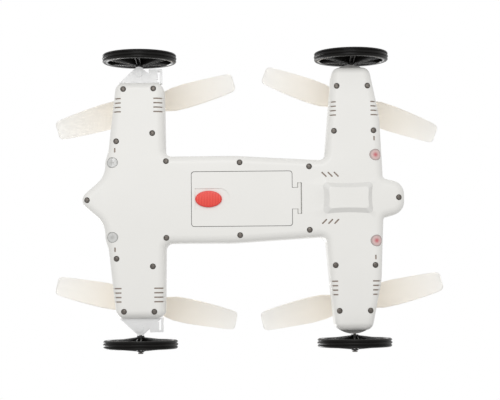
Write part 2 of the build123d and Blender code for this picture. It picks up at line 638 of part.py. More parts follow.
for name, side in SIDES.items():
    keep(arm_tip(side), f"front_{name}_arm_tip")
    keep(knuckle(side), f"front_{name}_knuckle")
    keep(axle(side, FRONT_AXLE_Y, KINGPIN_X + 1.2), f"front_{name}_axle")

with BuildPart() as rear_axles:
    for side in SIDES.values():
        add(axle(side, REAR_AXLE_Y, 86.0))
keep(rear_axles.part, "rear_axles")

with BuildPart() as kingpins:
    add(posts([(side * KINGPIN_X, FRONT_AXLE_Y) for side in SIDES.values()], 1.0, TIP_LOW_Z - 0.9, 35.6))
    add(posts([(side * KINGPIN_X, FRONT_AXLE_Y) for side in SIDES.values()], 2.0, TIP_HIGH_Z, 36.0))
keep(kingpins.part, "kingpins")

# ---------------------------------------------------------------- wheels
SPOKES = 6
SPOKE_END_R = RIM_INNER_R + 0.3
HUB_TUBE_R = 2.7
GROOVE_AT = (-1.15, 1.15)


def tyre(side, y):
    """Narrow tyre with rounded shoulders and two grooves."""
    plane = Plane(origin=(side * WHEEL_X, y, AXLE_Z), x_dir=(1, 0, 0), z_dir=(0, -1, 0))
    with BuildPart(mode=Mode.PRIVATE) as ring:
        with BuildSketch(plane) as section:
            with Locations((0, (RIM_R + WHEEL_R) / 2)):
                RectangleRounded(WHEEL_W, WHEEL_R - RIM_R, 1.25)
            with Locations((0, RIM_R + 0.7)):
                Rectangle(WHEEL_W - 1.6, 1.4)
            with Locations(*[(x, WHEEL_R) for x in GROOVE_AT]):
                Rectangle(0.5, 1.0, mode=Mode.SUBTRACT)
        revolve(axis=Axis((side * WHEEL_X, y, AXLE_Z), (1, 0, 0)))
    return ring.part


def rim(side, y, hub_inner_x):
    """Hub tube, six web spokes and the ring that carries the tyre."""
    axis = Axis((side * WHEEL_X, y, AXLE_Z), (1, 0, 0))
    plane = Plane(origin=(side * WHEEL_X, y, AXLE_Z), x_dir=(side, 0, 0), z_dir=(0, -side, 0))
    with BuildPart(mode=Mode.PRIVATE) as wheel:
        with BuildSketch(plane):
            with Locations((0, (RIM_INNER_R + RIM_R) / 2 - 0.01)):
                Rectangle(WHEEL_W - 0.9, RIM_R - RIM_INNER_R)
            with Locations(((hub_inner_x + HUB_END_X) / 2 - WHEEL_X, HUB_TUBE_R / 2)):
                Rectangle(HUB_END_X - hub_inner_x, HUB_TUBE_R)
        revolve(axis=axis)
        for i in range(SPOKES):
            angle = 2 * pi * i / SPOKES
            web = Plane(origin=(side * WHEEL_X, y, AXLE_Z), x_dir=(side, 0, 0),
                        z_dir=(0, -side * cos(angle), side * sin(angle)))
            with BuildSketch(web):
                Polygon((-5.4, 1.5), (-5.4, 2.6), (-2.7, SPOKE_END_R), (2.7, SPOKE_END_R),
                        (5.0, 2.6), (5.0, 1.5), align=None)
            extrude(amount=0.9, both=True)
        with Locations(Location((side * WHEEL_X, y, AXLE_Z), (0, 90, 0))):
            Cylinder(AXLE_R + 0.05, 40, mode=Mode.SUBTRACT)
    return wheel.part


for name, side in SIDES.items():
    keep(tyre(side, FRONT_AXLE_Y), f"front_{name}_tyre")
    keep(tyre(side, REAR_AXLE_Y), f"rear_{name}_tyre")
    keep(rim(side, FRONT_AXLE_Y, FRONT_HUB_IN_X), f"front_{name}_rim")
    keep(rim(side, REAR_AXLE_Y, REAR_HUB_IN_X), f"rear_{name}_rim")

# ---------------------------------------------------------------- rotor drive


def gear_outline(teeth, turn):
    """Points of a spur gear with straight-sided teeth; the first tooth points along turn (radians)."""
    pitch_r = MODULE * teeth / 2
    step = 2 * pi / teeth
    points = []
    for i in range(teeth):
        middle = turn + i * step
        for radius, share in ((-1.15, -0.36), (0.8, -0.11), (0.8, 0.11), (-1.15, 0.36)):
            angle = middle + share * step
            reach = pitch_r + radius * MODULE
            points.append((reach * cos(angle), reach * sin(angle)))
    return points


def main_gear(x, y, inboard):
    """Large gear on the rotor shaft, with a tooth towards the motor."""
    with BuildPart(mode=Mode.PRIVATE) as gear:
        with BuildSketch(Plane.XY.offset(GEAR_Z)):
            with Locations((x, y)):
                Polygon(*gear_outline(GEAR_TEETH, inboard), align=None)
                Circle(SHAFT_R + 0.01, mode=Mode.SUBTRACT)
                with PolarLocations(4.4, 6):
                    Circle(1.1, mode=Mode.SUBTRACT)
        extrude(amount=GEAR_T)
    return gear.part


def pinion(x, y, outboard):
    """Motor pinion with a gap towards the large gear, and the rotor's shaft."""
    with BuildPart(mode=Mode.PRIVATE) as small:
        with BuildSketch(Plane.XY.offset(GEAR_Z - 0.1)):
            with Locations((x, y)):
                Polygon(*gear_outline(PINION_TEETH, outboard + pi / PINION_TEETH), align=None)
        extrude(amount=GEAR_T + 0.4)
        with Locations((x, y, MOTOR_Z + 0.6)):
            Cylinder(0.5, 4.0)
    return small.part


def motor(x, y):
    """Coreless can motor with its end cap and bearing hole."""
    with BuildPart(mode=Mode.PRIVATE) as can:
        with Locations((x, y, MOTOR_Z + MOTOR_L / 2)):
            Cylinder(MOTOR_R, MOTOR_L)
        fillet(can.edges().filter_by(GeomType.CIRCLE), 0.5)
        with Locations((x, y, MOTOR_Z + 1.5)):
            Cylinder(0.55, 4.4, mode=Mode.SUBTRACT)
    return can.part


BLADE = [(2.5, 7, 3.2, 30), (12, 15, 2.4, 26), (28, 20, 1.9, 19), (50, 18, 1.5, 13), (65, 15.2, 1.2, 10),
         (68.8, 13, 0.9, 9), (PROP_R, 9.5, 0.6, 9)]


def propeller(x, y, heading, hand):
    """Two twisted blades on a hub; hand is +1 or -1 for the two directions of spin."""
    with BuildPart(mode=Mode.PRIVATE) as rotor:
        for turn in (0, 180):
            angle = radians(heading + turn)
            along = Vector(cos(angle), sin(angle), 0)
            across = Vector(-sin(angle), cos(angle), 0)
            for reach, chord, thick, pitch in BLADE:
                lean = hand * radians(pitch)
                centre = Vector(x, y, PROP_Z) + along * reach
                with BuildSketch(Plane(origin=centre, x_dir=across * cos(lean) + Vector(0, 0, sin(lean)),
                                       z_dir=along)):
                    Ellipse(chord / 2, thick / 2)
            loft()
        with Locations((x, y, PROP_Z - 0.9)):
            Cylinder(4.2, 8.2)
        with Locations((x, y, PROP_Z)):
            Cylinder(SHAFT_R + 0.01, 20, mode=Mode.SUBTRACT)
    return rotor.part


SHAFT_LOW_Z = 16.1
SHAFT_HIGH_Z = PROP_Z + 1.5


def shaft(x, y):
    """Steel rotor shaft from the gear to the propeller."""
    with BuildPart(mode=Mode.PRIVATE) as rod:
        with Locations((x, y, (SHAFT_LOW_Z + SHAFT_HIGH_Z) / 2)):
            Cylinder(SHAFT_R, SHAFT_HIGH_Z - SHAFT_LOW_Z)
    return rod.part


def prop_screw(x, y):
    """Small screw that closes the propeller's bore."""
    with BuildPart(mode=Mode.PRIVATE) as screw:
        with Locations((x, y, PROP_Z + 3.2 + 0.5)):
            Cylinder(1.9, 1.0)
            Box(2.6, 0.5, 2, mode=Mode.SUBTRACT)
        with Locations((x, y, PROP_Z + 2.45)):
            Cylinder(0.8, 1.7)
    return screw.part


# Angle of each propeller's blades in plan as stored, and its hand.
ROTORS = {
    "front_left": (74.5, 1), "front_right": (101.9, -1),
    "rear_left": (110.1, -1), "rear_right": (77.4, 1),
}
for name, (heading, hand) in ROTORS.items():
    end, flank = name.split("_")
    side = SIDES[flank]
    hub_y = ENDS[end]
    inboard = pi if side > 0 else 0
    keep(motor(side * MOTOR_X, hub_y), f"{name}_motor")
    keep(pinion(side * MOTOR_X, hub_y, pi - inboard), f"{name}_pinion")
    keep(main_gear(side * HUB_X, hub_y, inboard), f"{name}_gear")
    keep(shaft(side * HUB_X, hub_y), f"{name}_shaft")
    keep(propeller(side * HUB_X, hub_y, heading, hand), f"{name}_propeller")
    keep(prop_screw(side * HUB_X, hub_y), f"{name}_prop_screw")

with BuildPart() as shaft_bushes:
    for low in (GEAR_Z + GEAR_T + 1.4, TOWER_TOP_Z - 3):
        add(posts(HUBS, BUSH_R - 0.01, low, low + 3))
    add(posts(HUBS, SHAFT_R + 0.05, 10, 80), mode=Mode.SUBTRACT)
keep(shaft_bushes.part, "shaft_bushes")
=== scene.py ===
import math
import random

import bmesh
import bpy
from mathutils import Matrix, Vector


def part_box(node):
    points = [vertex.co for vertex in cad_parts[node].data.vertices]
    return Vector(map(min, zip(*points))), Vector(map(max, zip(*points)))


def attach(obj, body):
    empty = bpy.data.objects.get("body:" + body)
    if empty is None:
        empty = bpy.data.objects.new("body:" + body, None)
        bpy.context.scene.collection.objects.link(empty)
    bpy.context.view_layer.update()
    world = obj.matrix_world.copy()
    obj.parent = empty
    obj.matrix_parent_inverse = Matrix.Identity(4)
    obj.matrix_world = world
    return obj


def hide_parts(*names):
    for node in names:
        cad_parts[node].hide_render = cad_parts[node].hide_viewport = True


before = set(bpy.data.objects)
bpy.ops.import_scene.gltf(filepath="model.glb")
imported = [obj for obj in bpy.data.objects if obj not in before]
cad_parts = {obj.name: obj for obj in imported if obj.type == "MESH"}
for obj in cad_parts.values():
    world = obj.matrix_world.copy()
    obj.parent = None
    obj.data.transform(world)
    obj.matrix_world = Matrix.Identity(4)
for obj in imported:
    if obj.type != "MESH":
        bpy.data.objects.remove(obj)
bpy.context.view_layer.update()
MM = 0.001
FLANKS = {"left": 1, "right": -1}
CORNERS = ("front_left", "front_right", "rear_left", "rear_right")

# ---- Camera -----------------------------------------------------------------------------
# A studio camera one metre below the flat belly, almost square to it, so the car is seen from
# underneath with its nose to the left of the picture.
BELLY = Vector((0, 0, 14 * MM))
CAMERA_DISTANCE = 1.0
CAMERA_TILT = math.radians(3.6)
CAMERA_ROLL = math.radians(0.55)
CAMERA_OFFSET = Vector((-0.3 * MM, 1.0 * MM, -CAMERA_DISTANCE))
lens = bpy.data.cameras.new("studio_camera")
lens.lens = 100
lens.sensor_width = 36
camera = bpy.data.objects.new("studio_camera", lens)
bpy.context.scene.collection.objects.link(camera)
# rows: the car's tail points right, its left side up, and the belly faces the camera
below = Matrix(((0, 1, 0), (1, 0, 0), (0, 0, -1)))
aim = Matrix.Rotation(CAMERA_ROLL, 3, "Z") @ Matrix.Rotation(-CAMERA_TILT, 3, "X") @ below
facing = aim.transposed()
camera.matrix_world = Matrix.Translation(BELLY - facing @ CAMERA_OFFSET) @ facing.to_4x4()
bpy.context.scene.camera = camera
bpy.context.scene.view_settings.view_transform = "Standard"


# ---- Bottom shell -----------------------------------------------------------------------
# One injection moulding in white ABS with a fine satin skin. It carries the battery tray, the
# hinge block of the door and the seats of all the screws.
class Wire:
    """A shader socket that can be used in sums like a number."""

    def __init__(self, tree, socket):
        self.tree = tree
        self.socket = socket

    def node(self, kind, settings, inputs, out=0):
        """Add any node: its settings first, then values or wires for its sockets."""
        made = self.tree.nodes.new(kind)
        for name, value in settings.items():
            setattr(made, name, value)
        for name, value in inputs.items():
            if isinstance(value, Wire):
                self.tree.links.new(value.socket, made.inputs[name])
            else:
                made.inputs[name].default_value = value
        return Wire(self.tree, made.outputs[out])

    def sum_of(self, operation, first, second):
        return self.node("ShaderNodeMath", {"operation": operation}, {0: first, 1: second})

    def __add__(self, other):
        return self.sum_of("ADD", self, other)

    def __radd__(self, other):
        return self.sum_of("ADD", other, self)

    def __sub__(self, other):
        return self.sum_of("SUBTRACT", self, other)

    def __rsub__(self, other):
        return self.sum_of("SUBTRACT", other, self)

    def __mul__(self, other):
        return self.sum_of("MULTIPLY", self, other)

    def __rmul__(self, other):
        return self.sum_of("MULTIPLY", other, self)

    def along(self, axis):
        """One component of this vector: 0, 1 or 2 for X, Y or Z."""
        return self.node("ShaderNodeSeparateXYZ", {}, {0: self}, out=axis)

    def absolute(self):
        return self.sum_of("ABSOLUTE", self, 0.0)

    def between(self, low, high):
        """0 at low rising to 1 at high, and held beyond them."""
        return self.node("ShaderNodeMapRange", {}, {"Value": self, "From Min": low, "From Max": high})

    def away(self, x, y):
        """Distance in plan from the mirrored places (±x, ±y) in metres."""
        across = self.along(0).absolute() - x
        lengthwise = self.along(1).absolute() - y
        return self.sum_of("POWER", across * across + lengthwise * lengthwise, 0.5)

    def noise(self, scale, detail=2.0):
        """Soft noise on this vector, 0 to 1; scale is in repeats per metre."""
        return self.node("ShaderNodeTexNoise", {}, {"Vector": self, "Scale": scale, "Detail": detail})

    def blend(self, dark, light):
        """Colour between dark and light as this goes from 0 to 1."""
        ends = {}
        for socket, colour in ((6, dark), (7, light)):
            ends[socket] = colour if isinstance(colour, Wire) else (*colour, 1)
        return self.node("ShaderNodeMix", {"data_type": "RGBA"}, {0: self, **ends}, out=2)


class Finish:
    """A material in the making: constants go on its shader, wires are plugged in by name."""

    def __init__(self, name, **constants):
        self.material = bpy.data.materials.new(name)
        self.material.use_nodes = True
        self.tree = self.material.node_tree
        self.shader = self.tree.nodes["Principled BSDF"]
        for socket, value in constants.items():
            self.shader.inputs[socket.replace("_", " ")].default_value = value
        place = self.tree.nodes.new("ShaderNodeTexCoord")
        self.place = Wire(self.tree, place.outputs["Object"])

    def plug(self, **wires):
        for socket, wire in wires.items():
            self.tree.links.new(wire.socket, self.shader.inputs[socket.replace("_", " ")])

    def bumped(self, height, depth, strength=1.0):
        """Relief of that depth in metres."""
        bump = height.node("ShaderNodeBump", {}, {"Height": height, "Distance": depth, "Strength": strength})
        self.plug(Normal=bump)


def moulded(name, dark, light, rough, grain=1800, depth=0.00002, **constants):
    """Moulded plastic: slow colour drift, a fine grain and a roughness that varies a little."""
    finish = Finish(name, **constants)
    drift = finish.place.noise(35, 3)
    skin = finish.place.noise(grain, 2)
    finish.plug(Base_Color=(drift * 0.7 + skin * 0.3).blend(dark, light),
                Roughness=finish.place.noise(120, 4) * 0.12 + (rough - 0.06))
    finish.bumped(skin, depth)
    return finish


def wear(node, finish, crease=32):
    """Give a CAD node its finish, with its triangles joined and shaded smooth up to the creases."""
    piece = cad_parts[node]
    piece.data.materials.clear()
    piece.data.materials.append(finish.material)
    piece.data.polygons.foreach_set("use_smooth", [True] * len(piece.data.polygons))
    weld = piece.modifiers.new("weld", "WELD")
    weld.merge_threshold = 0.003 * MM
    split = piece.modifiers.new("crease", "EDGE_SPLIT")
    split.split_angle = math.radians(crease)
    return piece


def within(place, half_width, front, rear):
    """1 inside a box in plan, sizes in mm, and 0 outside it."""
    fade = 0.1
    lengthwise = place.along(1)
    return ((1 - place.along(0).absolute().between(half_width * MM, (half_width + fade) * MM))
            * lengthwise.between((front - fade) * MM, front * MM)
            * (1 - lengthwise.between(rear * MM, (rear + fade) * MM)))


SEAM_Z = 24
white_abs = Finish("white_abs", IOR=1.5)
height = white_abs.place.along(2)
pearl = (white_abs.place.noise(30, 3) * 0.6 + white_abs.place.noise(1800, 2) * 0.4).blend(
    (0.83, 0.82, 0.785), (0.895, 0.885, 0.855))
# the joint line of the two shells, a hair of shadow all round at the same height
joint_line = 1 - (height - SEAM_Z * MM).absolute().between(0.08 * MM, 0.22 * MM)
# painted shade: the sloping sides of the pad under the tail are painted a shade darker than the rest
pad_slope_shade = height.between(11.42 * MM, 11.7 * MM) * (1 - height.between(13.88 * MM, 13.99 * MM))
# painted shade in the gap round the battery door, between a box round the door and one just inside it
door_gap_shade = (height.between(14.1 * MM, 14.3 * MM) * (1 - height.between(15.5 * MM, 15.7 * MM))
            * within(white_abs.place, 20.2, -42.2, 31.1) * (1 - within(white_abs.place, 18.9, -41.0, 29.9)))
shell_colour = (joint_line * 0.75).blend(pearl, (0.16, 0.155, 0.15))
# the pad's slopes take their painted shade here
shell_colour = (pad_slope_shade * 0.5).blend(shell_colour, (0.68, 0.675, 0.655))
white_abs.plug(Base_Color=(door_gap_shade * 0.8).blend(shell_colour, (0.12, 0.115, 0.11)),
               Roughness=white_abs.place.noise(120, 4) * 0.14 + 0.34)
white_abs.bumped(white_abs.place.noise(1800, 2), 0.00002)
wear("bottom_shell", white_abs)


# ---- Vent shade strips ------------------------------------------------------------------
# A brown strip lies behind each row of cooling slots, a painted shade standing in for the dark seen through
# them.
def joined(mesh_maker, name, finish, smooth=35):
    """Turn a bmesh into a finished object at the origin, its doubles merged and faces outward."""
    bmesh.ops.remove_doubles(mesh_maker, verts=mesh_maker.verts, dist=0.001 * MM)
    bmesh.ops.recalc_face_normals(mesh_maker, faces=mesh_maker.faces)
    mesh = bpy.data.meshes.new(name)
    mesh_maker.to_mesh(mesh)
    mesh_maker.free()
    mesh.materials.append(finish.material)
    mesh.polygons.foreach_set("use_smooth", [True] * len(mesh.polygons))
    piece = bpy.data.objects.new(name, mesh)
    bpy.context.scene.collection.objects.link(piece)
    if smooth:
        split = piece.modifiers.new("crease", "EDGE_SPLIT")
        split.split_angle = math.radians(smooth)
    return piece


QUARTER = [math.radians(15 * number) for number in range(7)]
LINER_RING = (
    [(9.2, 15.0)] + [(5.6 - 4.6 * math.sin(a), 19.6 - 4.6 * math.cos(a)) for a in QUARTER]
    + [(5.6 - 4.2 * math.sin(a), 19.6 - 4.2 * math.cos(a)) for a in reversed(QUARTER)] + [(9.2, 15.4)])
# where each row starts and stops on the outline of the left half, and which way is inward
VENT_ROWS = [
    ((62.8, -61.5), (74.4, -61.65), -1), ((62.8, -98.95), (74.4, -97.65), 1),
    ((33.6, -102.4), (38.2, -101.7), 1),
    ((59.2, 57.6), (70.8, 58.65), 1), ((59.2, 94.5), (70.8, 92.35), -1), ((40.9, 95.35), (45.0, 95.2), -1)]
slot_shade_brown = moulded("slot_shade_brown", (0.30, 0.235, 0.20), (0.46, 0.38, 0.33), 0.7, 6000, 0.00004)
strips = bmesh.new()
for flank in FLANKS.values():
    for (x0, y0), (x1, y1), inward in VENT_ROWS:
        ring = [strips.verts.new(Vector((flank * x0, y0 + inward * d, z)) * MM) for d, z in LINER_RING]
        made = bmesh.ops.extrude_face_region(strips, geom=[strips.faces.new(ring)])["geom"]
        bmesh.ops.translate(strips, verts=[item for item in made if isinstance(item, bmesh.types.BMVert)],
                            vec=Vector((flank * (x1 - x0), y1 - y0, 0)) * MM)
    body_rows = bmesh.ops.create_cube(strips, size=1.0)["verts"]
    bmesh.ops.scale(strips, verts=body_rows, vec=Vector((7, 17, 0.4)) * MM)
    bmesh.ops.translate(strips, verts=body_rows, vec=Vector((flank * 17, 58.2, 15.2)) * MM)
slot_shade_strips = joined(strips, "vent_slot_shade", slot_shade_brown)
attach(slot_shade_strips, "root")

# ---- Electronics inside the body --------------------------------------------------------
# A laminate board with its chips and power socket, a foil battery with lead and plug, and the
# twisted leads that run out to the four motors.
board_green = moulded("board_green", (0.012, 0.10, 0.035), (0.02, 0.16, 0.06), 0.35, 4000)
chip_black = moulded("chip_black", (0.012, 0.012, 0.013), (0.03, 0.03, 0.032), 0.55, 5000)
nylon_white = moulded("nylon_white", (0.62, 0.60, 0.54), (0.74, 0.72, 0.66), 0.5, 3000)
foil_grey = moulded("foil_grey", (0.05, 0.06, 0.08), (0.10, 0.11, 0.14), 0.32, 900, 0.00006)
lead_red = moulded("lead_red", (0.30, 0.012, 0.01), (0.42, 0.03, 0.02), 0.45, 3000)
wear("circuit_board", board_green)
wear("board_chips", chip_black)
wear("board_socket", nylon_white)
wear("battery_plug", nylon_white)
wear("battery", foil_grey)
wear("battery_lead", lead_red)
wear("motor_leads", lead_red)
wear("switch_case", chip_black)


# ---- Rotor drives -----------------------------------------------------------------------
# Each corner has a coreless motor in a drawn steel can, a brass pinion, a nylon gear and a
# ground steel shaft in two brass bushes.
def metal(name, dark, light, rough, scratch=900):
    """Bare metal with fine scratches and a little tarnish."""
    finish = Finish(name, Metallic=1.0)
    tarnish = finish.place.noise(160, 4)
    lines = finish.place.noise(scratch, 6)
    finish.plug(Base_Color=tarnish.blend(dark, light), Roughness=lines * 0.18 + rough)
    finish.bumped(lines, 0.000008)
    return finish


can_steel = metal("can_steel", (0.42, 0.43, 0.45), (0.58, 0.59, 0.6), 0.25)
pin_steel = metal("pin_steel", (0.5, 0.5, 0.5), (0.68, 0.68, 0.68), 0.18)
brass = metal("brass", (0.5, 0.32, 0.11), (0.66, 0.45, 0.18), 0.25)
for corner in CORNERS:
    wear(f"{corner}_motor", can_steel)
    wear(f"{corner}_pinion", brass)
    wear(f"{corner}_gear", nylon_white)
    wear(f"{corner}_shaft", pin_steel)
wear("shaft_bushes", brass)

# ---- Top shell and canopy ---------------------------------------------------------------
# The upper moulding in the same white ABS, and a smoke-tinted bubble pressed onto its roof.
wear("top_shell", white_abs)
smoke = Finish("smoke_tint", Transmission_Weight=0.25, IOR=1.49, Coat_Weight=0.6, Coat_Roughness=0.04)
smoke.plug(Base_Color=smoke.place.noise(60, 2).blend((0.006, 0.008, 0.011), (0.016, 0.019, 0.024)),
           Roughness=smoke.place.noise(200, 3) * 0.06 + 0.05)
smoke.bumped(smoke.place.noise(90, 1), 0.00003)
wear("canopy", smoke)
wear("switch_knob", chip_black)


# ---- Shell screws -----------------------------------------------------------------------
# Twenty-four blackened self-tapping screws with pan heads and cross recesses, sunk in their
# seats around the belly. Every head has stopped at its own angle.
def turned(outline, centre, axis="Z", steps=32):
    """A turned part: outline is (radius, height) points in mm from the axis, spun once round it."""
    part = bmesh.new()
    ring = [part.verts.new((radius * MM, 0, height * MM)) for radius, height in outline]
    edges = [part.edges.new(pair) for pair in zip(ring, ring[1:])]
    bmesh.ops.spin(part, geom=ring + edges, cent=(0, 0, 0), axis=(0, 0, 1), angle=math.tau,
                   steps=steps, use_merge=True)
    bmesh.ops.remove_doubles(part, verts=part.verts, dist=0.001 * MM)
    if axis == "X":
        bmesh.ops.rotate(part, verts=part.verts, cent=(0, 0, 0), matrix=Matrix.Rotation(math.pi / 2, 3, "Y"))
    bmesh.ops.translate(part, verts=part.verts, vec=Vector(centre) * MM)
    return part


def bar(size, centre, turn=0.0, round_off=0.0, into=None, segments=2):
    """A block in mm, turned about Z, with its edges rounded; added to another part if given."""
    part = into or bmesh.new()
    made = bmesh.ops.create_cube(part, size=1.0)["verts"]
    bmesh.ops.scale(part, verts=made, vec=Vector(size) * MM)
    if round_off:
        edges = list({edge for vert in made for edge in vert.link_edges})
        made = bmesh.ops.bevel(part, geom=edges, offset=round_off * MM, segments=segments,
                               affect="EDGES", profile=0.5, material=-1)["verts"]
        made = list(set(made))
    bmesh.ops.rotate(part, verts=made, cent=(0, 0, 0), matrix=Matrix.Rotation(turn, 3, "Z"))
    bmesh.ops.translate(part, verts=made, vec=Vector(centre) * MM)
    return part


screw_black = metal("screw_black", (0.09, 0.08, 0.072), (0.19, 0.172, 0.155), 0.30, 2500)
HEAD_R = 1.95
HEAD_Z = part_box("shell_screws")[0].z / MM
SCREW_PLACES = [(0, -117.2), (0, 107.6)] + [
    (flank * x, y) for flank in FLANKS.values() for x, y in (
        (80.4, -90.8), (80.6, -69.0), (42.4, -96.0), (48.1, -69.9), (27.7, -60.1), (26.3, -7.0),
        (22.9, 43.1), (48.5, 61.4), (48.6, 90.0), (81.2, 63.8), (81.2, 86.1))]
turns = random.Random(7)
head = turned([(0, 0), (0.9, 0.03), (1.55, 0.16), (HEAD_R, 0.5), (HEAD_R, 1.1), (0.95, 1.1),
               (0.95, 12), (0, 13)], (0, 0, 0), steps=28)
blank = joined(head, "screw_blank", screw_black, smooth=0)
cross = bar((2.7, 0.62, 1.1), (0, 0, 0), into=bar((0.62, 2.7, 1.1), (0, 0, 0)))
cutter = joined(cross, "screw_cross", screw_black, smooth=0)
cut = blank.modifiers.new("cross", "BOOLEAN")
cut.object = cutter
cut.operation = "DIFFERENCE"
cut.solver = "EXACT"
cut.use_self = True
bpy.context.view_layer.update()
cut_mesh = bpy.data.meshes.new_from_object(blank.evaluated_get(bpy.context.evaluated_depsgraph_get()))
screws = bmesh.new()
for x, y in SCREW_PLACES:
    held = len(screws.verts)
    screws.from_mesh(cut_mesh)
    screws.verts.ensure_lookup_table()
    fresh = screws.verts[held:]
    bmesh.ops.rotate(screws, verts=fresh, cent=(0, 0, 0),
                     matrix=Matrix.Rotation(turns.uniform(0, math.pi / 2), 3, "Z"))
    bmesh.ops.translate(screws, verts=fresh, vec=Vector((x, y, HEAD_Z)) * MM)
bpy.data.objects.remove(blank)
bpy.data.objects.remove(cutter)
screw_set = joined(screws, "belly_screws", screw_black)
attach(screw_set, "root")
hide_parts("shell_screws")

# ---- Lamps ------------------------------------------------------------------------------
# Two clear lenses in the nose edge and two red ones in the tail edge, each with a domed lamp
# close behind it.
def lamp_glass(name, place, pale, deep, rim):
    """Lens seen from outside: pale, with the lamp behind it painted in the middle as a deeper tint and a
    painted shadow round its edge.
    """
    glass = Finish(name, Transmission_Weight=0.2, IOR=1.49, Coat_Weight=0.5, Coat_Roughness=0.08)
    radius = glass.place.away(place[0] * MM, place[1] * MM)
    face = radius.between(0.6 * MM, 2.2 * MM).blend(deep, pale)
    # a painted shadow round the edge of the lens
    edge = radius.between(2.9 * MM, 3.7 * MM)
    glass.plug(Base_Color=edge.blend(face, rim), Roughness=glass.place.noise(500, 3) * 0.1 + 0.12)
    glass.bumped(glass.place.noise(700, 1), 0.00004)
    return glass


clear_lens = lamp_glass("clear_lens", (27.0, 98.9),
                        pale=(0.80, 0.80, 0.78), deep=(0.62, 0.62, 0.60), rim=(0.50, 0.50, 0.48))
red_lens = lamp_glass("red_lens", (31.0, 91.2),
                      pale=(0.86, 0.62, 0.60), deep=(0.74, 0.20, 0.22), rim=(0.58, 0.47, 0.45))
bulb = Finish("lamp_bulb", Transmission_Weight=0.5, IOR=1.5)
bulb.plug(Base_Color=bulb.place.noise(400, 2).blend((0.5, 0.45, 0.42), (0.7, 0.66, 0.6)),
          Roughness=bulb.place.noise(500, 2) * 0.1 + 0.1)
wear("front_lenses", clear_lens)
wear("rear_lenses", red_lens)
wear("lamp_bulbs", bulb)

# ---- Battery door and latch -------------------------------------------------------------
# A flat white door hooked in at the tail end, shut by a red thumb latch: an oval button with
# fine ridges across the way it slides.
wear("battery_door", white_abs)
latch_red = Finish("latch_red", IOR=1.5)
# painted shade: the latch is a darker red the deeper it lies between its ridges
groove_shade = latch_red.place.along(2).between(12.78 * MM, 13.1 * MM)
latch_red.plug(Base_Color=(groove_shade * 0.9 + latch_red.place.noise(400, 2) * 0.1).blend(
    (1.0, 0.125, 0.09), (0.78, 0.05, 0.04)), Roughness=latch_red.place.noise(900, 3) * 0.12 + 0.32)
latch_red.bumped(latch_red.place.noise(1500, 2), 0.00002)
latch_low, latch_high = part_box("door_latch")
LATCH_LONG = 19.2
LATCH_WIDE = 11.9
LATCH_FACE = latch_low.z / MM
latch_y = (latch_high.y / MM) - LATCH_LONG / 2
button = bmesh.new()
oval = bmesh.ops.create_circle(button, cap_ends=True, radius=MM, segments=72)["verts"]
bmesh.ops.scale(button, verts=oval, vec=(LATCH_WIDE / 2, LATCH_LONG / 2, 1))
base = bmesh.ops.extrude_face_region(button, geom=button.faces[:])["geom"]
lifted = [item for item in base if isinstance(item, bmesh.types.BMVert)]
bmesh.ops.translate(button, verts=lifted, vec=(0, 0, 1.45 * MM))
edges = [e for e in button.edges if all(abs(v.co.z) < 1e-7 for v in e.verts)]
bmesh.ops.bevel(button, geom=edges, offset=0.55 * MM, segments=3, affect="EDGES", profile=0.5, material=-1)
bmesh.ops.translate(button, verts=button.verts, vec=(0, latch_y * MM, (LATCH_FACE + 0.45) * MM))
RIDGES = 15
RIDGE_PITCH = 1.12
for number in range(RIDGES):
    along = (number - (RIDGES - 1) / 2) * RIDGE_PITCH
    reach = (LATCH_WIDE / 2 - 0.9) * math.sqrt(1 - (along / (LATCH_LONG / 2 - 0.55)) ** 2)
    bar((2 * reach, 0.62, 1.0), (0, latch_y + along, LATCH_FACE + 0.52), round_off=0.22, into=button)
bar((4, 8, 2.0), (0, latch_y, LATCH_FACE + 2.6), into=button)
bar((11, 17.6, 1.1), (0, latch_y - 2.9, LATCH_FACE + 3.4), into=button)
latch = joined(button, "thumb_latch", latch_red)
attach(latch, "latch")
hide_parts("door_latch")

# ---- Front arm tips and steering knuckles -----------------------------------------------
# Clear forks pushed into the ends of the front arms. A knuckle turns on a kingpin between the
# two plates of each fork, and the pin's head looks as clear as the plates.
clear_resin = Finish("clear_resin", Transmission_Weight=0.15, IOR=1.3)
clear_resin.plug(Base_Color=clear_resin.place.noise(150, 2).blend((0.965, 0.965, 0.96), (0.99, 0.99, 0.985)),
                 Roughness=clear_resin.place.noise(400, 3) * 0.06 + 0.04)
clear_resin.bumped(clear_resin.place.noise(300, 1), 0.00001)
for flank in FLANKS:
    wear(f"front_{flank}_arm_tip", clear_resin)
    wear(f"front_{flank}_knuckle", clear_resin)
    wear(f"front_{flank}_axle", screw_black)
wear("kingpins", clear_resin)
wear("rear_axles", screw_black)

# ---- Wheels -----------------------------------------------------------------------------
# Glossy black rims with six channelled spokes that cone out to a long hub tube, and soft
# narrow tyres with fine grooves all the way round.
rim_black = moulded("rim_black", (0.004, 0.004, 0.004), (0.009, 0.008, 0.007), 0.2, 2600, 0.000015,
                    Coat_Weight=0.25, Coat_Roughness=0.1)
tyre_black = moulded("tyre_black", (0.003, 0.003, 0.003), (0.008, 0.007, 0.006), 0.34, 3200, 0.00003,
                     Specular_IOR_Level=0.16)
RING_OUT = 24.7
RING_IN = 23.0
TREAD_R = 27.15
SPOKES = 6
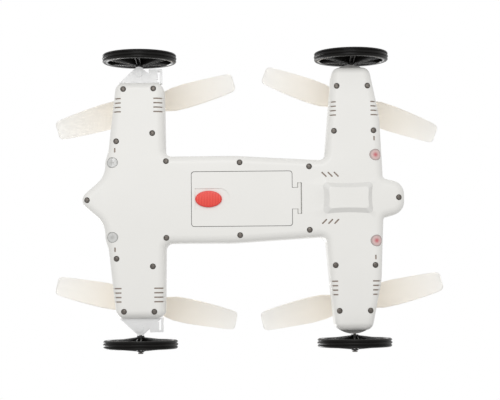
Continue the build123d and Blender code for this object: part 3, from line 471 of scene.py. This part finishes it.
# the web of a spoke and its two ribs: offset, thickness, and how far the width stops short
SPOKE_BARS = ((0, 1.3, 1.6), (1.55, 0.7, 0.0), (-1.55, 0.7, 0.0))
TYRE_OUTLINE = [
    (RING_OUT - 0.3, -2.5), (RING_OUT + 0.05, -3.0), (25.2, -3.2), (25.9, -3.15), (26.45, -2.9),
    (26.85, -2.45), (26.95, -2.05), (26.85, -1.65), (26.6, -1.5), (26.2, -1.4), (26.2, -0.95),
    (26.7, -0.8), (27.0, -0.55), (TREAD_R, -0.2)]
RING_OUTLINE = [
    (RING_IN, -1.9), (RING_IN + 0.15, -2.8), (RING_IN + 0.45, -3.1), (RING_OUT - 0.4, -3.15),
    (RING_OUT - 0.05, -2.95), (RING_OUT - 0.25, -2.5), (RING_OUT - 0.25, 0)]


def whole_section(half):
    """Mirror a half section about its middle."""
    return half + [(radius, -height) for radius, height in reversed(half) if height]


def pour(source, target):
    """Add one part in the making to another."""
    carrier = bpy.data.meshes.new("carrier")
    source.to_mesh(carrier)
    source.free()
    target.from_mesh(carrier)
    bpy.data.meshes.remove(carrier)


def wheel_rim(name, side, centre, hub_start):
    """Ring, hub tube and spokes of one wheel, modelled with its outer face towards +X, then set."""
    rim = turned(whole_section(RING_OUTLINE) + [(RING_IN, 1.9), (RING_IN, -1.9)], (0, 0, 0), steps=96)
    hub_in = hub_start - abs(centre.x)
    pour(turned([(1.12, hub_in), (2.6, hub_in), (2.75, hub_in + 0.2), (2.8, -2.6), (2.9, 3.4), (2.6, 5.4),
                 (2.2, 5.75), (1.12, 5.75), (1.12, hub_in)], (0, 0, 0), steps=36), rim)
    # one spoke: a tapered blade from hub to ring, with a rib along each edge
    for number in range(SPOKES):
        angle = math.tau * number / SPOKES
        for offset, thick, slim in SPOKE_BARS:
            made = bmesh.ops.create_cube(rim, size=1.0)["verts"]
            for vert in made:
                far = vert.co.x > 0
                outer = vert.co.z > 0
                reach = RING_IN + 0.25 if far else 2.2
                wide = (3.0 if outer else -2.6) if far else (5.0 if outer else -5.3)
                wide -= math.copysign(slim, wide)
                vert.co = (reach * MM, (vert.co.y * thick + offset * (1.0 if far else 0.75)) * MM, wide * MM)
            edges = list({edge for vert in made for edge in vert.link_edges})
            rounded = bmesh.ops.bevel(rim, geom=edges, offset=0.16 * MM, segments=2, affect="EDGES",
                                      profile=0.5, material=-1)["verts"]
            bmesh.ops.rotate(rim, verts=list(set(rounded)), cent=(0, 0, 0),
                             matrix=Matrix.Rotation(angle, 3, "Z"))
    face = Matrix.Rotation(math.pi / 2 * side, 3, "Y")
    bmesh.ops.rotate(rim, verts=rim.verts, cent=(0, 0, 0), matrix=face)
    bmesh.ops.translate(rim, verts=rim.verts, vec=centre * MM)
    return joined(rim, name, rim_black)


for corner in CORNERS:
    side = FLANKS[corner.split("_")[1]]
    tyre_low, tyre_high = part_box(f"{corner}_tyre")
    middle = (tyre_low + tyre_high) / 2 / MM
    rim_low, rim_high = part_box(f"{corner}_rim")
    hub_start = min(abs(rim_low.x), abs(rim_high.x)) / MM
    rim = wheel_rim(f"{corner}_spoked_rim", side, middle, hub_start)
    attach(rim, f"{corner}_wheel")
    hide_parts(f"{corner}_rim")
    rubber = turned(whole_section(TYRE_OUTLINE) + [TYRE_OUTLINE[0]], middle, axis="X", steps=128)
    tyre = joined(rubber, f"{corner}_grooved_tyre", tyre_black)
    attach(tyre, f"{corner}_wheel")
    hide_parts(f"{corner}_tyre")

# ---- Propellers -------------------------------------------------------------------------
# Two-blade propellers in ivory nylon, thin enough to let light through, each pressed on its
# shaft and closed by a small screw. Neighbours turn, and twist, opposite ways.
ivory = Finish("ivory_nylon", Transmission_Weight=0.4, IOR=1.1)
# darker and warmer near the hub, painted shade near the body, and paler towards the tips, painted light
# through the tips, with a slow colour drift
from_hub = ivory.place.away(75 * MM, 77.9 * MM).between(8 * MM, 70 * MM)
hub_shade_and_drift = from_hub + ivory.place.noise(45, 3) * 0.16 - 0.08
ivory.plug(Base_Color=hub_shade_and_drift.blend((0.945, 0.89, 0.80), (0.97, 0.958, 0.93)),
           Roughness=ivory.place.noise(260, 3) * 0.12 + 0.5)
PROP_R = 69.4
BLADE_T = 1.0
HUB_REACH = 4.65        # from the foot of the hub to the blades' own height
# where each propeller has stopped, in degrees, and the hand of its twist
HEADINGS = {"front_left": (74.5, 1), "front_right": (101.9, -1),
            "rear_left": (110.1, -1), "rear_right": (77.4, 1)}
# leading and trailing edge, in mm each side of the blade's axis, and pitch in degrees, by reach
BLADE = [(3, 3.4, 3.6, 30), (8, 5.2, 5.6, 29), (14, 7.6, 8.4, 26), (22, 9.4, 10.3, 22), (32, 9.6, 10.4, 18),
         (44, 8.9, 9.8, 15), (56, 8.0, 8.8, 12), (64, 7.3, 7.9, 10.5), (67.2, 6.9, 7.3, 10),
         (68.4, 6.2, 6.6, 10), (69.1, 5.1, 5.5, 10), (PROP_R, 3.8, 4.1, 10)]


def blade_at(reach):
    """Edges and pitch of the blade at that reach, read between the stations."""
    for near, far in zip(BLADE, BLADE[1:]):
        if reach <= far[0]:
            share = (reach - near[0]) / (far[0] - near[0])
            return [a + (b - a) * share for a, b in zip(near[1:], far[1:])]
    return list(BLADE[-1][1:])


def propeller(name, centre, heading, hand):
    """Hub and two cambered, twisted blades."""
    rotor = bmesh.new()
    for turn in (0, math.pi):
        sheet = bmesh.new()
        bmesh.ops.create_grid(sheet, x_segments=90, y_segments=12, size=0.5)
        for vert in sheet.verts:
            along = (vert.co.x + 0.5) ** 0.6
            reach = BLADE[0][0] + along * (PROP_R - BLADE[0][0])
            lead, trail, pitch = blade_at(reach)
            chord = lead + trail
            across = vert.co.y * 2
            place = -trail + (across + 1) / 2 * chord
            camber = 0.07 * chord * (1 - across ** 2)
            lean = math.radians(pitch)
            vert.co = Vector((reach, -hand * (place * math.cos(lean) - camber * math.sin(lean)),
                              place * math.sin(lean) + camber * math.cos(lean))) * MM
        bmesh.ops.recalc_face_normals(sheet, faces=sheet.faces)
        bmesh.ops.solidify(sheet, geom=sheet.faces[:], thickness=BLADE_T * MM)
        bmesh.ops.rotate(sheet, verts=sheet.verts, cent=(0, 0, 0), matrix=Matrix.Rotation(turn, 3, "Z"))
        pour(sheet, rotor)
    pour(turned([(1.05, -5), (3.0, -5), (3.9, -4.2), (4.15, -3.2), (4.15, 2.6), (3.7, 3.2), (1.05, 3.4),
                 (1.05, -5)], (0, 0, 0), steps=40), rotor)
    bmesh.ops.rotate(rotor, verts=rotor.verts, cent=(0, 0, 0),
                     matrix=Matrix.Rotation(math.radians(heading), 3, "Z"))
    bmesh.ops.translate(rotor, verts=rotor.verts, vec=centre)
    return joined(rotor, name, ivory, smooth=40)


for corner in CORNERS:
    heading, hand = HEADINGS[corner]
    shaft_low, shaft_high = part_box(f"{corner}_shaft")
    centre = (shaft_low + shaft_high) / 2
    centre.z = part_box(f"{corner}_propeller")[0].z + HUB_REACH * MM
    rotor = propeller(f"{corner}_rotor", centre, heading, hand)
    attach(rotor, f"{corner}_rotor")
    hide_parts(f"{corner}_propeller")
    wear(f"{corner}_prop_screw", screw_black)

# ---- Floor and light --------------------------------------------------------------------
# A pale one-sided floor that the wheels stand on, seen only from above, and soft white light
# from all round with a broad lamp on each side.
floor_finish = Finish("studio_floor", Roughness=0.85)
floor_finish.plug(Base_Color=floor_finish.place.noise(1.5, 2).blend((0.80, 0.80, 0.80), (0.83, 0.83, 0.83)))
behind = floor_finish.tree.nodes.new("ShaderNodeNewGeometry")
see_through = floor_finish.tree.nodes.new("ShaderNodeBsdfTransparent")
choose = floor_finish.tree.nodes.new("ShaderNodeMixShader")
floor_output = floor_finish.tree.nodes["Material Output"]
floor_finish.tree.links.new(behind.outputs["Backfacing"], choose.inputs[0])
floor_finish.tree.links.new(floor_finish.shader.outputs[0], choose.inputs[1])
floor_finish.tree.links.new(see_through.outputs[0], choose.inputs[2])
floor_finish.tree.links.new(choose.outputs[0], floor_output.inputs["Surface"])
sheet = bmesh.new()
bmesh.ops.create_grid(sheet, x_segments=1, y_segments=1, size=6)
floor = joined(sheet, "studio_floor", floor_finish, smooth=0)
floor.visible_shadow = False
floor.visible_diffuse = False
floor.visible_glossy = False
floor.visible_transmission = False

sky = bpy.data.worlds.new("studio_sky")
bpy.context.scene.world = sky
sky.use_nodes = True
glow = sky.node_tree.nodes["Background"]
glow.inputs["Color"].default_value = (1, 1, 1, 1)
glow.inputs["Strength"].default_value = 0.62
# what the camera sees behind the car: plain white, a little greyer where it meets the floor
height = Wire(sky.node_tree, sky.node_tree.nodes.new("ShaderNodeTexCoord").outputs["Generated"]).along(2)
backdrop = height.node("ShaderNodeBackground", {}, {
    "Color": height.between(0.0, 0.5).blend((0.80, 0.80, 0.80), (1.0, 1.0, 1.0)), "Strength": 1.0})
seen = sky.node_tree.nodes.new("ShaderNodeLightPath")
either = sky.node_tree.nodes.new("ShaderNodeMixShader")
seen_ways = [Wire(sky.node_tree, seen.outputs[f"Is {way} Ray"])
             for way in ("Camera", "Transmission", "Glossy")]
sky.node_tree.links.new((seen_ways[0] + seen_ways[1] + seen_ways[2]).socket, either.inputs[0])
sky.node_tree.links.new(glow.outputs[0], either.inputs[1])
sky.node_tree.links.new(backdrop.socket, either.inputs[2])
sky.node_tree.links.new(either.outputs[0], sky.node_tree.nodes["World Output"].inputs["Surface"])


def soft_lamp(name, place, power, size):
    """A broad square lamp that looks at the car."""
    light = bpy.data.lights.new(name, "AREA")
    light.energy = power
    light.size = size
    lamp = bpy.data.objects.new(name, light)
    bpy.context.scene.collection.objects.link(lamp)
    lamp.location = place
    lamp.rotation_mode = "QUATERNION"
    lamp.rotation_quaternion = (-Vector(place)).to_track_quat("-Z", "Y")


soft_lamp("lamp_below", (0.5, -0.1, -1.1), 5.3, 0.7)
soft_lamp("lamp_above", (-0.7, -0.8, 1.3), 13.0, 0.8)
